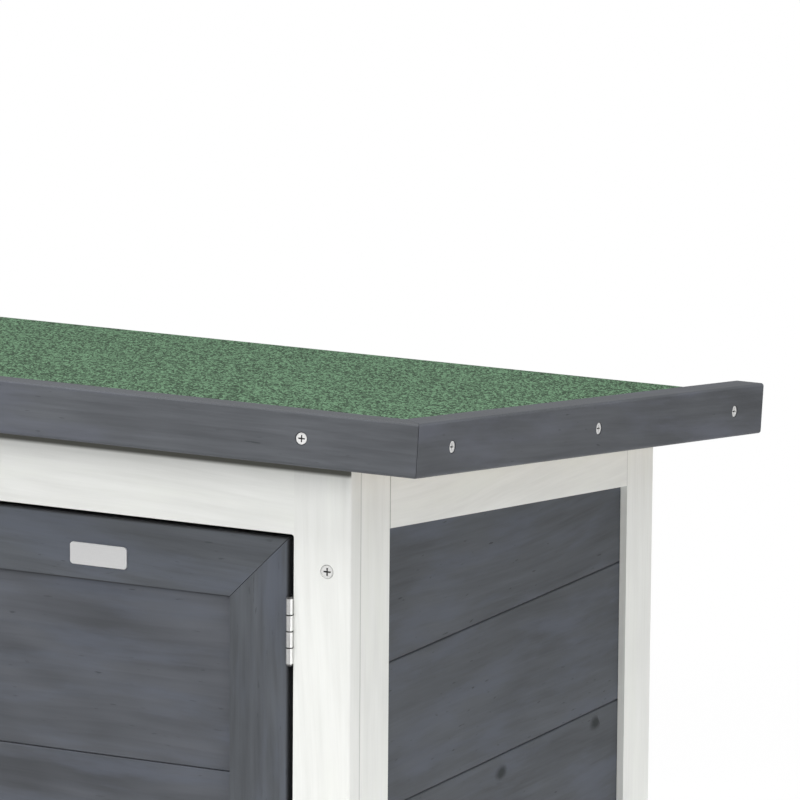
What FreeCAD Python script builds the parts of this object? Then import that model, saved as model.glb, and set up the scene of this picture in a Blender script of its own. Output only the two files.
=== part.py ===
import FreeCAD, Part
import math
import os

Vector = FreeCAD.Vector
os.makedirs("parts", exist_ok=True)

# A two-tier wooden rabbit hutch whose felted lid opens to the back. Millimetres.
# X runs to the right, Y to the back and Z up from the ground, under the middle of the hutch.

# Body
nest_opening = 244.6
run_opening = 451.0
stile_width = 34.8
frame_thickness = 12.5
side_thickness = 22.0
front_post_width = 35.0
side_opening = 306.3
rear_post_width = 36.6
leg_height = 60.0
rail_height = 35.0
lower_opening_height = 283.5
upper_opening_height = 323.8
top_rail_height = 50.7
side_rail_front = 46.8  # height of the sloping side rail at the front post
side_rail_back = 42.1
corner_radius = 1.7
arris = 1.8
seam = 0.8  # eased edge of the front post beside the front boards
board_ease = 1.0

# Boards that fill the frames
plank_width = 83.4
plank_thickness = 8.0
plank_recess = 4.5
plank_bevel = 0.6
least_plank = 0.15  # a board narrower than this share of the rest is joined to its neighbour
plank_seam = 0.4
tongue_height = 3.5
tongue_play = 0.2
groove_depth = 6.0
groove_play = 0.2

# Floors, divider and ramp
floor_thickness = 9.0
bearer_width = 18.0
inside_gap = 0.5
divider_thickness = 9.0
divider_stop = 4.0  # how far the divider stands into the nest doorway
doorway_width = 150.0
doorway_height = 205.0
doorway_sill = 34.0
hole_length = 250.0
hole_width = 170.0
hole_from_left = 100.0
ramp_width = 150.0
ramp_length = 470.0
ramp_thickness = 12.0
tread_width = 9.0
tread_height = 6.0
tread_spacing = 50.0
pivot_radius = 2.5
pivot_block = 14.0
hanger_gap = 1.0
running_gap = 0.05

# Doors
hinge_side_gap = 3.4
latch_side_gap = 3.2
door_gap = 2.4
door_board = 36.2
door_ease = 1.6
stop_gap = 0.3
mitre_gap = 0.3
nest_plank_width = 98.8
nest_panel_thickness = 7.0
nest_panel_recess = 3.0
tray_front_height = 51.1
mesh_pitch = 19.0
wire_size = 1.4
mesh_lap = 12.0
stop_length = 60.0
stop_width = 25.0
stop_reach = 8.0
plate_width = 36.0
plate_height = 12.5
plate_thickness = 0.8
plate_drop = 22.1
plate_corner = 2.0

# Door hinges
hinge_length = 36.9
hinge_inset = 33.2
leaf_thickness = 1.2
leaf_depth = 11.0
knuckle_radius = 1.9
pin_radius = 1.0
pin_proud = 1.5
knuckle_gap = 0.3
leaf_clear = 0.3  # between a knuckle and the plate of the other leaf
head_gap_end = 0.1
head_height = 0.8
door_head_ratio = 0.85
roof_head_ratio = 0.8

# Bolts
bolt_plate_length = 34.0
bolt_plate_height = 16.0
bolt_plate_thickness = 1.0
bolt_edge = 2.0
strap_width = 5.0
strap_wall = 1.0
bolt_radius = 2.5
bolt_length = 36.0
bolt_tip_back = 1.0
bolt_gap = 0.1
keeper_width = 12.0
keeper_offset = 1.5
keeper_play = 0.8
neck_ratio = 0.6
knob_radius = 3.5

# Tray
tray_gap = 2.0
tray_wall = 1.2
tray_height = 30.0
tray_lift = 0.3
tray_knob_length = 16.0
tray_knob_radius = 9.0

# Roof, along its slope
roof_pitch = 6.77
roof_length = 456.0
front_overhang = 19.0
side_overhang = 50.0
fascia_height = 30.0
fascia_thickness = 18.5
fascia_drop = 10.0
roof_board_thickness = 11.0
roof_board_count = 5
felt_thickness = 2.0
lid_gap = 0.3
batten_width = 20.0
batten_height = 15.0
batten_clearance = 4.0
roof_hinge_length = 50.0
roof_hinge_from_side = 120.0
roof_knuckle_radius = 2.6
roof_pin_radius = 1.5
roof_pin_offset = 3.0
roof_leaf_depth = 24.0

# Screws
frame_head_radius = 3.6
frame_screw_length = 34.0
frame_screw_inset = 14.5
top_screw_drop = 69.5
fascia_head_radius = 3.25
fascia_screw_length = 32.0
fascia_screw_height = 15.2
front_screw_inset = 71.1
side_screws_along = (42.0, 228.5, 416.3)
head_sink = 0.5
head_gap = 0.5

# Levels
lower_sill = leg_height + rail_height
lower_head = lower_sill + lower_opening_height
upper_sill = lower_head + rail_height
upper_head = upper_sill + upper_opening_height
front_height = upper_head + top_rail_height
far = front_height + top_rail_height  # above every board that the lid's slope trims
lower_floor_top = lower_sill - mesh_lap - inside_gap
bearer_height = rail_height - floor_thickness - mesh_lap - inside_gap

# Widths and depths
body_width = run_opening + nest_opening + 3 * stile_width
body_depth = frame_thickness + front_post_width + side_opening + rear_post_width
half = body_width / 2
inner = half - side_thickness
nest_right = half - stile_width
nest_left = nest_right - nest_opening
run_left = -half + stile_width
run_right = run_left + run_opening

# The roof's own frame has U down the slope and W up from the boards' underside.
pitch = math.radians(roof_pitch)
front_reach = front_overhang * math.cos(pitch) + fascia_drop * math.sin(pitch)
rear_reach = (roof_length - front_overhang) * math.cos(pitch) + (fascia_height - fascia_drop) * math.sin(pitch)
front = -(rear_reach - front_reach) / 2
back = front + body_depth
front_inside = front + frame_thickness
back_inside = back - frame_thickness
post_back = front_inside + front_post_width
rear_post_front = post_back + side_opening
roof_end = roof_length - front_overhang


def box(x0, x1, y0, y1, z0, z1):
    """Block between two corners."""
    return Part.makeBox(x1 - x0, y1 - y0, z1 - z0, Vector(x0, y0, z0))


def prism(points, run):
    """Solid with the outline points, carried along the vector run."""
    return Part.Face(Part.makePolygon(points + [points[0]])).extrude(run)


def cylinder(radius, start, end):
    """Round bar between two points."""
    return Part.makeCylinder(radius, (end - start).Length, start, end - start)


def placed(shape, origin, x_axis, y_axis):
    """Copy of shape with its own X and Y turned to the two axes and its zero at origin."""
    z_axis = x_axis.cross(y_axis)
    moved = shape.copy()
    turn = FreeCAD.Rotation(x_axis, y_axis, z_axis, "ZXY")
    moved.Placement = FreeCAD.Placement(origin, turn).multiply(moved.Placement)
    return moved


def eased(shape, radius, wanted):
    """Shape with the straight edges that wanted(edge) picks rounded to radius."""
    edges = [edge for edge in shape.Edges if wanted(edge)]
    return shape.makeFillet(radius, edges)


def runs_along(edge, axis):
    """True where a straight edge is parallel to the vector axis."""
    ends = edge.Vertexes
    return len(ends) == 2 and (ends[1].Point - ends[0].Point).cross(axis).Length < 1e-6


def save(name, *solids):
    """Writes one node's solids to its file."""
    shape = solids[0] if len(solids) == 1 else Part.makeCompound(list(solids))
    shape.exportStep("parts/" + name + ".step")


def mirrored(shape):
    """Copy on the other side of the hutch."""
    return shape.mirror(Vector(0, 0, 0), Vector(1, 0, 0))


def on_roof(shape):
    """Copy of a shape from the roof's own frame, at its place on the hutch."""
    return placed(shape, Vector(0, front, front_height), Vector(1, 0, 0), roof_u)


roof_u = Vector(0, math.cos(pitch), -math.sin(pitch))
roof_w = Vector(0, math.sin(pitch), math.cos(pitch))
above_lid = on_roof(box(-body_width, body_width, -body_depth, 2 * body_depth, -lid_gap, front_height))


def roof_height(y):
    """Height of the roof boards' underside over a place y."""
    return front_height - (y - front) * math.tan(pitch)


# Screws: a countersunk head with a cross recess, and its hole

def screw(head_radius, length):
    """Screw that points down from a head at zero."""
    shank = head_radius * 0.5
    cone = Part.makeCone(shank, head_radius, head_radius - shank, Vector(0, 0, shank - head_radius))
    body = cone.fuse(cylinder(shank, Vector(0, 0, -length), Vector(0, 0, shank - head_radius)))
    arm = head_radius * 0.62
    slot = head_radius * 0.13
    depth = head_radius * 0.4
    cross = box(-arm, arm, -slot, slot, -depth, depth).fuse(box(-slot, slot, -arm, arm, -depth, depth))
    return body.cut(cross)


def screw_hole(head_radius, length):
    """Hole that takes the screw, with a rim round its head."""
    shank = head_radius * 0.5
    mouth = head_radius + head_gap
    deep = mouth - shank
    cone = Part.makeCone(shank, mouth, deep, Vector(0, 0, -deep))
    rim = cylinder(mouth, Vector(0, 0, 0), Vector(0, 0, head_radius))
    return cone.fuse(rim).fuse(cylinder(shank, Vector(0, 0, -length), Vector(0, 0, -deep)))


def set_screw(head_radius, length, place, outward):
    """Screw and hole at a point on a face whose outward normal is given."""
    across = Vector(1, 0, 0) if abs(outward.x) < 0.5 else Vector(0, 1, 0)
    up = outward.cross(across)
    seat = place - outward * head_sink
    return (placed(screw(head_radius, length), seat, across, up),
            placed(screw_hole(head_radius, length), seat, across, up))


def drilled(shape, holes):
    """Shape with each hole cut out."""
    for hole in holes:
        shape = shape.cut(hole)
    return shape


# Tongued boards that fill a frame

def plank_outline(low, high, thickness, first, last):
    """One board's section as (depth, height) pairs; depth 0 is the seen face."""
    third = thickness / 3
    play = tongue_play
    points = [(0, low), (0, high)]
    if not first:
        points = [(plank_bevel, low), (0, low + plank_bevel), (0, high)]
    if not last:
        points[-1:] = [(0, high - plank_bevel), (plank_bevel, high), (third, high),
                       (third, high + tongue_height), (2 * third, high + tongue_height), (2 * third, high)]
    points += [(thickness, high), (thickness, low)]
    if not first:
        top = low + tongue_height + play
        points += [(2 * third + play, low), (2 * third + play, top), (third - play, top), (third - play, low)]
    return points


def planks(low, high, width, thickness, place, run):
    """Boards from low to high; place(depth, height) gives a point and run is their length."""
    rows = max(1, math.ceil((high - low) / width - least_plank))
    boards = []
    for row in range(rows):
        last = row == rows - 1
        bottom = low + row * width
        top = high if last else bottom + width - plank_seam
        outline = plank_outline(bottom, top, thickness, row == 0, last)
        boards.append(prism([place(depth, height) for depth, height in outline], run))
    return boards


# Front frame: one plate with its doorways, parted into boards

tiers = ((lower_sill, lower_head), (upper_sill, upper_head))


def front_plate():
    """The whole front frame before it is parted."""
    plate = box(-half, half, front, front_inside, 0, front_height + frame_thickness)
    plate = eased(plate, arris, lambda edge: runs_along(edge, Vector(0, 0, 1)) and edge.Vertexes[0].Y < front + 1)
    for left, right in ((run_left, run_right), (nest_left, nest_right)):
        for low, high in tiers:
            doorway = box(left, right, front - 1, front_inside + 1, low, high)
            plate = plate.cut(eased(doorway, corner_radius, lambda edge: runs_along(edge, Vector(0, 1, 0))))
    plate = plate.cut(box(run_left, nest_right, front - 1, front_inside + 1, -1, leg_height))
    return plate.cut(above_lid)


frame_screws = []
stile_holes = []
for side in (-1, 1):
    for height in (front_height - top_screw_drop, lower_head + rail_height / 2, leg_height + rail_height / 2):
        seat = Vector(side * (half - frame_screw_inset), front, height)
        fastener, hole = set_screw(frame_head_radius, frame_screw_length, seat, Vector(0, -1, 0))
        frame_screws.append(fastener)
        stile_holes.append(hole)

plate = front_plate()


def front_board(x0, x1, z0, z1):
    """The front frame's board between two sides and two heights."""
    return plate.common(box(x0, x1, front - 1, front_inside + 1, z0, z1))


def front_stile(x0, x1, side):
    """Upright board at one end of the front, with its share of the rounded doorway corners; side 1 is the right."""
    board = front_board(x0, x1, -1, far)
    for low, high in tiers:
        if side > 0:
            board = board.fuse(front_board(x0 - corner_radius, x1, low, high))
        else:
            board = board.fuse(front_board(x0, x1 + corner_radius, low, high))
    return board.removeSplitter()


save("front_left_stile", drilled(front_stile(-half - 1, run_left, -1), stile_holes[:3]))
save("front_right_stile", drilled(front_stile(nest_right, half + 1, 1), stile_holes[3:]))
save("front_top_rail", front_board(run_left, nest_right, upper_head, far))
save("front_middle_rail", front_board(run_left, nest_right, lower_head, upper_sill))
save("front_bottom_rail", front_board(run_left, nest_right, leg_height, lower_sill))
for name, (low, high) in zip(("front_lower_mullion", "front_upper_mullion"), tiers):
    save(name, front_board(run_right - corner_radius, nest_left + corner_radius, low, high))
save("frame_screws", *frame_screws)


# Right side, then the left as its mirror

def side_outline(grow):
    """Upper side opening as (y, z) pairs, grown outwards on every side."""
    y0 = post_back - grow
    y1 = rear_post_front + grow
    front_top = roof_height(post_back) - side_rail_front + grow
    back_top = roof_height(rear_post_front) - side_rail_back + grow
    return [(y0, upper_sill - grow), (y1, upper_sill - grow), (y1, back_top), (y0, front_top)]


def side_block(grow, x0, x1):
    """The side opening's outline as a solid between two depths."""
    return prism([Vector(x0, y, z) for y, z in side_outline(grow)], Vector(x1 - x0, 0, 0))


panel_face = half - plank_recess
panel_groove = side_block(groove_depth + groove_play, panel_face - plank_thickness - groove_play,
                          panel_face + groove_play)
side_opening_block = side_block(0, inner - 1, half + 1)
side_plate = box(inner, half, post_back, back, 0, far)
side_plate = eased(side_plate, arris, lambda edge: runs_along(edge, Vector(0, 0, 1)) and edge.Vertexes[0].X > half - 1
                   and edge.Vertexes[0].Y > back - 1)
side_plate = side_plate.cut(side_opening_block)
side_plate = side_plate.cut(box(inner - 1, half + 1, post_back, rear_post_front, lower_sill, lower_head))
side_plate = side_plate.cut(box(inner - 1, half + 1, post_back - 1, rear_post_front, -1, leg_height))
side_plate = side_plate.cut(above_lid).cut(panel_groove)

front_post = eased(box(inner, half, front_inside, post_back, 0, far), seam,
                   lambda edge: runs_along(edge, Vector(0, 0, 1)) and edge.Vertexes[0].X > half - 1)
front_post = drilled(front_post.cut(above_lid).cut(panel_groove), stile_holes[3:])


def side_board(y0, y1, z0, z1):
    """The side frame's board between two depths and two heights."""
    return side_plate.common(box(inner - 1, half + 1, y0, y1, z0, z1))


rear_post = side_board(rear_post_front, back + 1, -1, far)
side_rails = [side_board(post_back, rear_post_front, low, high)
              for low, high in ((leg_height, lower_sill), (lower_head, upper_sill), (upper_sill + 1, far))]
panel = side_block(groove_depth, panel_face - plank_thickness - 1, panel_face + 1)
panel_top = side_outline(groove_depth)[3][1]
side_planks = planks(upper_sill - groove_depth, panel_top, plank_width, plank_thickness,
                     lambda depth, height: Vector(panel_face - depth, post_back - groove_depth, height),
                     Vector(0, side_opening + 2 * groove_depth, 0))
side_planks = [board.common(panel) for board in side_planks]


def mesh_sheet(corner, across, up, opening_width, opening_height, through):
    """Welded wire sheet, as a plate with square gaps, centred on an opening with this lower left corner."""
    columns = int((opening_width + 2 * mesh_lap - wire_size) // mesh_pitch)
    rows = int((opening_height + 2 * mesh_lap - wire_size) // mesh_pitch)
    width = columns * mesh_pitch + wire_size
    height = rows * mesh_pitch + wire_size
    start = corner + across * ((opening_width - width) / 2) + up * ((opening_height - height) / 2)
    gap = mesh_pitch - wire_size

    def square(origin, wide, high):
        ends = [origin, origin + across * wide, origin + across * wide + up * high, origin + up * high]
        return Part.makePolygon(ends + [origin])

    wires = [square(start, width, height)]
    for column in range(columns):
        for row in range(rows):
            origin = start + across * (column * mesh_pitch + wire_size) + up * (row * mesh_pitch + wire_size)
            wires.append(square(origin, gap, gap))
    return Part.Face(wires, "Part::FaceMakerBullseye").extrude(through)


side_mesh = mesh_sheet(Vector(inner, post_back, lower_sill), Vector(0, 1, 0), Vector(0, 0, 1),
                       side_opening, lower_opening_height, Vector(-wire_size, 0, 0))
for name, solids in (("front_post", [front_post]), ("rear_post", [rear_post]), ("side_rails", side_rails),
                     ("side_boards", side_planks), ("side_mesh", [side_mesh])):
    save("right_" + name, *solids)
    save("left_" + name, *[mirrored(solid) for solid in solids])

# Back: a frame between the rear posts, with boards in both tiers
back_left = -inner + stile_width
back_right = inner - stile_width
back_top = roof_height(back) - side_rail_back
back_groove_face = back - plank_recess
back_plate = box(-inner, inner, back_inside, back, leg_height, far).cut(above_lid)
back_planks = []
for low, high in ((lower_sill, lower_head), (upper_sill, back_top)):
    back_plate = back_plate.cut(box(back_left, back_right, back_inside - 1, back + 1, low, high))
    back_plate = back_plate.cut(box(back_left - groove_depth - groove_play, back_right + groove_depth + groove_play,
                                    back_groove_face - plank_thickness - groove_play,
                                    back_groove_face + groove_play,
                                    low - groove_depth - groove_play, high + groove_depth + groove_play))
    back_planks += planks(low - groove_depth, high + groove_depth, plank_width, plank_thickness - 1,
                          lambda depth, height: Vector(back_left - groove_depth, back_groove_face - depth, height),
                          Vector(back_right - back_left + 2 * groove_depth, 0, 0))


def back_board(x0, x1, z0, z1):
    """The back frame's board between two sides and two heights."""
    return back_plate.common(box(x0, x1, back_inside - 1, back + 1, z0, z1))


save("back_frame", back_board(-inner, back_left, 0, far), back_board(back_right, inner, 0, far),
     back_board(back_left, back_right, leg_height, lower_sill),
     back_board(back_left, back_right, lower_head, upper_sill), back_board(back_left, back_right, back_top, far))
save("back_boards", *back_planks)

# Floors, their bearers, and the divider between nest and run
upper_floor_under = upper_sill - floor_thickness
lower_floor_under = lower_floor_top - floor_thickness
hole_left = -inner + hole_from_left
hole_right = hole_left + hole_length
ramp_back = back_inside - bearer_width - pivot_block - 2 * hanger_gap
ramp_front = ramp_back - ramp_width
hole_back = ramp_back + (hole_width - ramp_width) / 2
hole_front = hole_back - hole_width
ramp_hole = box(hole_left, hole_right, hole_front, hole_back, upper_floor_under - 1, upper_sill + 1)
save("upper_floor", box(-inner, inner, front_inside, back_inside, upper_floor_under, upper_sill).cut(ramp_hole))
save("lower_floor", box(-inner, inner, front_inside, back_inside, lower_floor_under, lower_floor_top))
bearers = []
for under in (lower_floor_under, upper_floor_under):
    for near in (front_inside, back_inside - bearer_width):
        bearers.append(box(-inner, inner, near, near + bearer_width, under - bearer_height, under))
save("floor_bearers", *bearers)

divider_right = nest_left + divider_stop
divider_left = divider_right - divider_thickness
doorway_middle = (front_inside + back_inside) / 2
doorway_radius = doorway_width / 2
doorway_low = upper_sill + doorway_sill
doorway_spring = doorway_low + doorway_height - doorway_radius
doorway = box(divider_left - 1, divider_right + 1, doorway_middle - doorway_radius, doorway_middle + doorway_radius,
              doorway_low, doorway_spring)
doorway = doorway.fuse(cylinder(doorway_radius, Vector(divider_left - 1, doorway_middle, doorway_spring),
                                Vector(divider_right + 1, doorway_middle, doorway_spring)))
divider = box(divider_left, divider_right, front_inside, back_inside, upper_sill, far)
save("nest_divider", divider.cut(above_lid).cut(doorway))

# Ramp: pivots on a rod under the floor's hole and lies on the lower floor
pivot_x = hole_left - pivot_radius
pivot_z = upper_floor_under - tread_height - ramp_thickness / 2 - hanger_gap
ramp_rest = lower_floor_top + lid_gap
ramp_reach = math.hypot(ramp_length, ramp_thickness / 2)
ramp_angle = math.asin((pivot_z - ramp_rest) / ramp_reach) - math.atan2(ramp_thickness / 2, ramp_length)
ramp_along = Vector(math.cos(ramp_angle), 0, -math.sin(ramp_angle))
ramp_pivot = Vector(pivot_x, ramp_front, pivot_z)


def on_ramp(shape):
    """Copy of a shape from the ramp's own frame: X down the ramp, Z out of its upper face."""
    return placed(shape, ramp_pivot, ramp_along, Vector(0, 1, 0))


ramp = box(0, ramp_length + ramp_thickness, 0, ramp_width, -ramp_thickness / 2, ramp_thickness / 2)
ramp = ramp.fuse(cylinder(ramp_thickness / 2, Vector(0, 0, 0), Vector(0, ramp_width, 0)))
ramp = ramp.cut(cylinder(pivot_radius + running_gap, Vector(0, -1, 0), Vector(0, ramp_width + 1, 0)))
save("ramp_board", on_ramp(ramp).cut(box(-half, half, front, back, 0, ramp_rest)))
treads = []
for row in range(int(ramp_length // tread_spacing) - 1):
    along = tread_spacing * (row + 1)
    treads.append(on_ramp(box(along, along + tread_width, 0, ramp_width,
                              ramp_thickness / 2, ramp_thickness / 2 + tread_height)))
save("ramp_treads", *treads)
rod = cylinder(pivot_radius, Vector(pivot_x, ramp_front - pivot_block, pivot_z),
               Vector(pivot_x, ramp_back + pivot_block, pivot_z))
hangers = []
for near in (ramp_front - hanger_gap - pivot_block, ramp_back + hanger_gap):
    hanger = box(pivot_x - pivot_block, pivot_x + pivot_block, near, near + pivot_block,
                 pivot_z - ramp_thickness / 2, upper_floor_under)
    hangers.append(hanger.cut(rod))
save("ramp_pivot", rod, *hangers)


# Doors

def mitred_frame(x0, x1, z0, z1):
    """Four boards round an opening, parted on their mitres."""
    door_back = front_inside - stop_gap
    ring = box(x0, x1, front, door_back, z0, z1)
    opening = box(x0 + door_board, x1 - door_board, front - 1, door_back + 1, z0 + door_board, z1 - door_board)
    ring = eased(ring, door_ease, lambda edge: edge.Vertexes[0].Y < front + 0.1 and edge.Vertexes[-1].Y < front + 0.1)
    ring = ring.cut(opening)
    wide = door_board
    g = mitre_gap / 2
    corners = ((x0, z0, x0 + wide, z0 + wide), (x1, z0, x1 - wide, z0 + wide),
               (x1, z1, x1 - wide, z1 - wide), (x0, z1, x0 + wide, z1 - wide))
    boards = []
    for index in range(4):
        ax, az, bx, bz = corners[index]
        cx, cz, dx, dz = corners[(index + 1) % 4]
        span = Vector(cx - ax, 0, cz - az)
        span.normalize()
        shift = span * (g * math.sqrt(2))
        points = [Vector(ax, front - 1, az) + shift, Vector(cx, front - 1, cz) - shift,
                  Vector(dx, front - 1, dz) - shift, Vector(bx, front - 1, bz) + shift]
        boards.append(ring.common(prism(points, Vector(0, frame_thickness + 2, 0))))
    return boards


def leaf(length, count, own, gap_half, thickness, depth, radius, bore):
    """Hinge leaf with its pin along Z from zero, its plate at X next to a board, and its own knuckles."""
    step = length / count
    plate = box(gap_half - thickness, gap_half, radius + leaf_clear, depth, 0, length)
    for index in range(own, count, 2):
        low = index * step + knuckle_gap / 2
        high = (index + 1) * step - knuckle_gap / 2
        plate = plate.fuse(cylinder(radius, Vector(0, 0, low), Vector(0, 0, high)))
        plate = plate.fuse(box(gap_half - thickness, gap_half, 0, radius + leaf_clear + 0.1, low, high))
    return plate.cut(cylinder(bore, Vector(0, 0, -1), Vector(0, 0, length + 1)))


def hinge_pin(length, radius, head):
    """Pin with a low head at both ends."""
    pin = cylinder(radius, Vector(0, 0, -head_gap_end), Vector(0, 0, length + head_gap_end))
    for height, way in ((-head_gap_end, -1), (length + head_gap_end, 1)):
        pin = pin.fuse(cylinder(head, Vector(0, 0, height), Vector(0, 0, height + way * head_height)))
    return pin


gap_half = hinge_side_gap / 2
bore_radius = pin_radius + running_gap
frame_leaf = leaf(hinge_length, 4, 0, gap_half, leaf_thickness, leaf_depth, knuckle_radius, bore_radius)
door_leaf = mirrored(leaf(hinge_length, 4, 1, gap_half, leaf_thickness, leaf_depth, knuckle_radius, bore_radius))
door_pin = hinge_pin(hinge_length, pin_radius, knuckle_radius * door_head_ratio)
frame_leaves = []
door_pins = []


def hang_door(jamb, side, z0, z1):
    """Hinges of a door beside a jamb: side 1 has the door on its left. Gives the door's own leaves."""
    leaves = []
    for low in (z0 + hinge_inset, z1 - hinge_inset - hinge_length):
        at = Vector(jamb - side * gap_half, front - pin_proud, low)
        for shape, group in ((frame_leaf, frame_leaves), (door_leaf, leaves), (door_pin, door_pins)):
            turned = shape if side > 0 else mirrored(shape)
            group.append(turned.translated(at))
    return leaves


bolt_axis = bolt_plate_thickness + bolt_gap + strap_wall + bolt_radius


def strap(x0, x1):
    """Pressed loop round the bolt, on its plate."""
    outer = bolt_radius + bolt_gap + strap_wall
    loop = cylinder(outer, Vector(x0, -bolt_axis, 0), Vector(x1, -bolt_axis, 0))
    return loop.fuse(box(x0, x1, -bolt_axis, -bolt_plate_thickness / 2, -outer, outer))


def staple(x0, x1):
    """Square loop that the bolt's tip slides into, with room to spare."""
    side = bolt_radius + keeper_play
    top = bolt_axis + side
    loop = box(x0, x1, -top - strap_wall, -bolt_plate_thickness / 2, -side - strap_wall, side + strap_wall)
    return loop.cut(box(x0 - 1, x1 + 1, -top, -bolt_plate_thickness, -side, side))


def bolt_parts():
    """Guide, bolt and keeper for a door edge at x = 0 with the jamb on its right."""
    end = -bolt_edge
    start = end - bolt_plate_length
    tall = bolt_plate_height / 2
    bore = cylinder(bolt_radius + bolt_gap, Vector(start - 1, -bolt_axis, 0), Vector(0, -bolt_axis, 0))
    guide = box(start, end, -bolt_plate_thickness, 0, -tall, tall)
    for x0 in (start, end - strap_width):
        guide = guide.fuse(strap(x0, x0 + strap_width))
    tip = -bolt_tip_back
    bar = cylinder(bolt_radius, Vector(tip - bolt_length, -bolt_axis, 0), Vector(tip, -bolt_axis, 0))
    knob_x = start + strap_width + knob_radius
    neck = cylinder(bolt_radius * neck_ratio, Vector(knob_x, -bolt_axis, 0),
                    Vector(knob_x, -bolt_axis - bolt_radius - knob_radius, 0))
    ball = Part.makeSphere(knob_radius, Vector(knob_x, -bolt_axis - bolt_radius - knob_radius, 0))
    near = latch_side_gap + keeper_offset
    middle = near + (keeper_width - strap_width) / 2
    keeper = box(near, near + keeper_width, -bolt_plate_thickness, 0, -tall, tall)
    keeper = keeper.fuse(staple(middle, middle + strap_width)).removeSplitter()
    return guide.cut(bore), bar.fuse(neck).fuse(ball), keeper


bolt_shapes = bolt_parts()
keepers = []


def fit_bolt(edge, side, height):
    """Bolt at a door's latch edge: side 1 has the jamb on its right. Gives guide and bolt."""
    guide, bar, keeper = [(shape if side > 0 else mirrored(shape)).translated(Vector(edge, front, height))
                          for shape in bolt_shapes]
    keepers.append(keeper)
    return guide, bar


def door_mesh(x0, x1, z0, z1):
    """Wire sheet stapled to the back of a door's frame."""
    return mesh_sheet(Vector(x0 + door_board, front_inside - stop_gap, z0 + door_board), Vector(1, 0, 0),
                      Vector(0, 0, 1), x1 - x0 - 2 * door_board, z1 - z0 - 2 * door_board, Vector(0, wire_size, 0))


door_stops = []


def door_stop(edge, side, height):
    """Block behind a mullion that the shut door's latch edge meets."""
    x0 = min(edge - side * stop_reach, edge + side * (stop_width - stop_reach))
    return box(x0, x0 + stop_width, front_inside, front_inside + frame_thickness,
               height - stop_length / 2, height + stop_length / 2)


def mesh_door(name, low, high):
    """Wired door of the left bay, hinged at its left side."""
    x0 = run_left + hinge_side_gap
    x1 = run_right - latch_side_gap
    z0 = low + door_gap
    z1 = high - door_gap
    middle = (z0 + z1) / 2
    save(name + "_door_frame", *mitred_frame(x0, x1, z0, z1))
    save(name + "_door_mesh", door_mesh(x0, x1, z0, z1))
    save(name + "_door_hinge_leaves", *hang_door(run_left, -1, z0, z1))
    guide, bar = fit_bolt(x1, 1, middle)
    save(name + "_bolt_guide", guide)
    save(name + "_bolt", bar)
    door_stops.append(door_stop(run_right, 1, middle))


mesh_door("run", upper_sill, upper_head)
mesh_door("lower", lower_sill, lower_head)

# Nest door: solid, over the tray's front
nest_x0 = nest_left + latch_side_gap
nest_x1 = nest_right - hinge_side_gap
tray_low = upper_sill + door_gap
tray_high = tray_low + tray_front_height
nest_z0 = tray_high + door_gap
nest_z1 = upper_head - door_gap
nest_face = front + nest_panel_recess
panel_x0 = nest_x0 + door_board - groove_depth
panel_x1 = nest_x1 - door_board + groove_depth
panel_z0 = nest_z0 + door_board - groove_depth
panel_z1 = nest_z1 - door_board + groove_depth
nest_groove = box(panel_x0 - groove_play, panel_x1 + groove_play, nest_face - groove_play,
                  nest_face + nest_panel_thickness + groove_play, panel_z0 - groove_play, panel_z1 + groove_play)
nest_planks = planks(panel_z0, panel_z1, nest_plank_width, nest_panel_thickness,
                     lambda depth, height: Vector(panel_x0, nest_face + depth, height),
                     Vector(panel_x1 - panel_x0, 0, 0))
save("nest_door_frame", *[board.cut(nest_groove) for board in mitred_frame(nest_x0, nest_x1, nest_z0, nest_z1)])
save("nest_door_boards", *nest_planks)
plate_x = (nest_x0 + nest_x1 - plate_width) / 2
plate_z = nest_z1 - plate_drop - plate_height / 2
name_plate = box(plate_x, plate_x + plate_width, front - plate_thickness, front, plate_z, plate_z + plate_height)
save("nest_door_plate", eased(name_plate, plate_corner, lambda edge: runs_along(edge, Vector(0, 1, 0))))
save("nest_door_hinge_leaves", *hang_door(nest_right, 1, nest_z0, nest_z1))
nest_guide, nest_bar = fit_bolt(nest_x0, -1, (nest_z0 + nest_z1) / 2)
save("nest_bolt_guide", nest_guide)
save("nest_bolt", nest_bar)
save("door_stops", *door_stops)
save("door_hinge_frame_leaves", *frame_leaves)
save("door_hinge_pins", *door_pins)
save("bolt_keepers", *keepers)
save("lower_front_mesh", mesh_sheet(Vector(nest_left, front_inside, lower_sill), Vector(1, 0, 0), Vector(0, 0, 1),
                                    nest_opening, lower_opening_height, Vector(0, wire_size, 0)))

# Tray under the nest door
pan_x0 = divider_right + tray_gap
pan_x1 = nest_right - tray_gap
pan_low = upper_sill + tray_lift
pan = box(pan_x0, pan_x1, front_inside, back_inside - tray_gap, pan_low, pan_low + tray_height)
hollow = box(pan_x0 + tray_wall, pan_x1 - tray_wall, front_inside + tray_wall, back_inside - tray_gap - tray_wall,
             pan_low + tray_wall, pan_low + tray_height + 1)
save("tray_pan", pan.cut(hollow))
tray_front = box(nest_x0, nest_x1, front, front_inside, tray_low, tray_high)
save("tray_front", eased(tray_front, board_ease, lambda edge: edge.Vertexes[0].Y < front + 0.1
                         and edge.Vertexes[-1].Y < front + 0.1))
tray_middle = (nest_x0 + nest_x1) / 2
tray_centre = (tray_low + tray_high) / 2
knob_outline = [(0, 0), (tray_knob_radius * 0.5, 0), (tray_knob_radius * 0.42, -0.4 * tray_knob_length),
                (tray_knob_radius, -0.6 * tray_knob_length), (tray_knob_radius, -0.8 * tray_knob_length),
                (tray_knob_radius * 0.7, -tray_knob_length), (0, -tray_knob_length)]
knob_face = Part.Face(Part.makePolygon([Vector(tray_middle + r, front + y, tray_centre)
                                        for r, y in knob_outline + knob_outline[:1]]))
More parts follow.
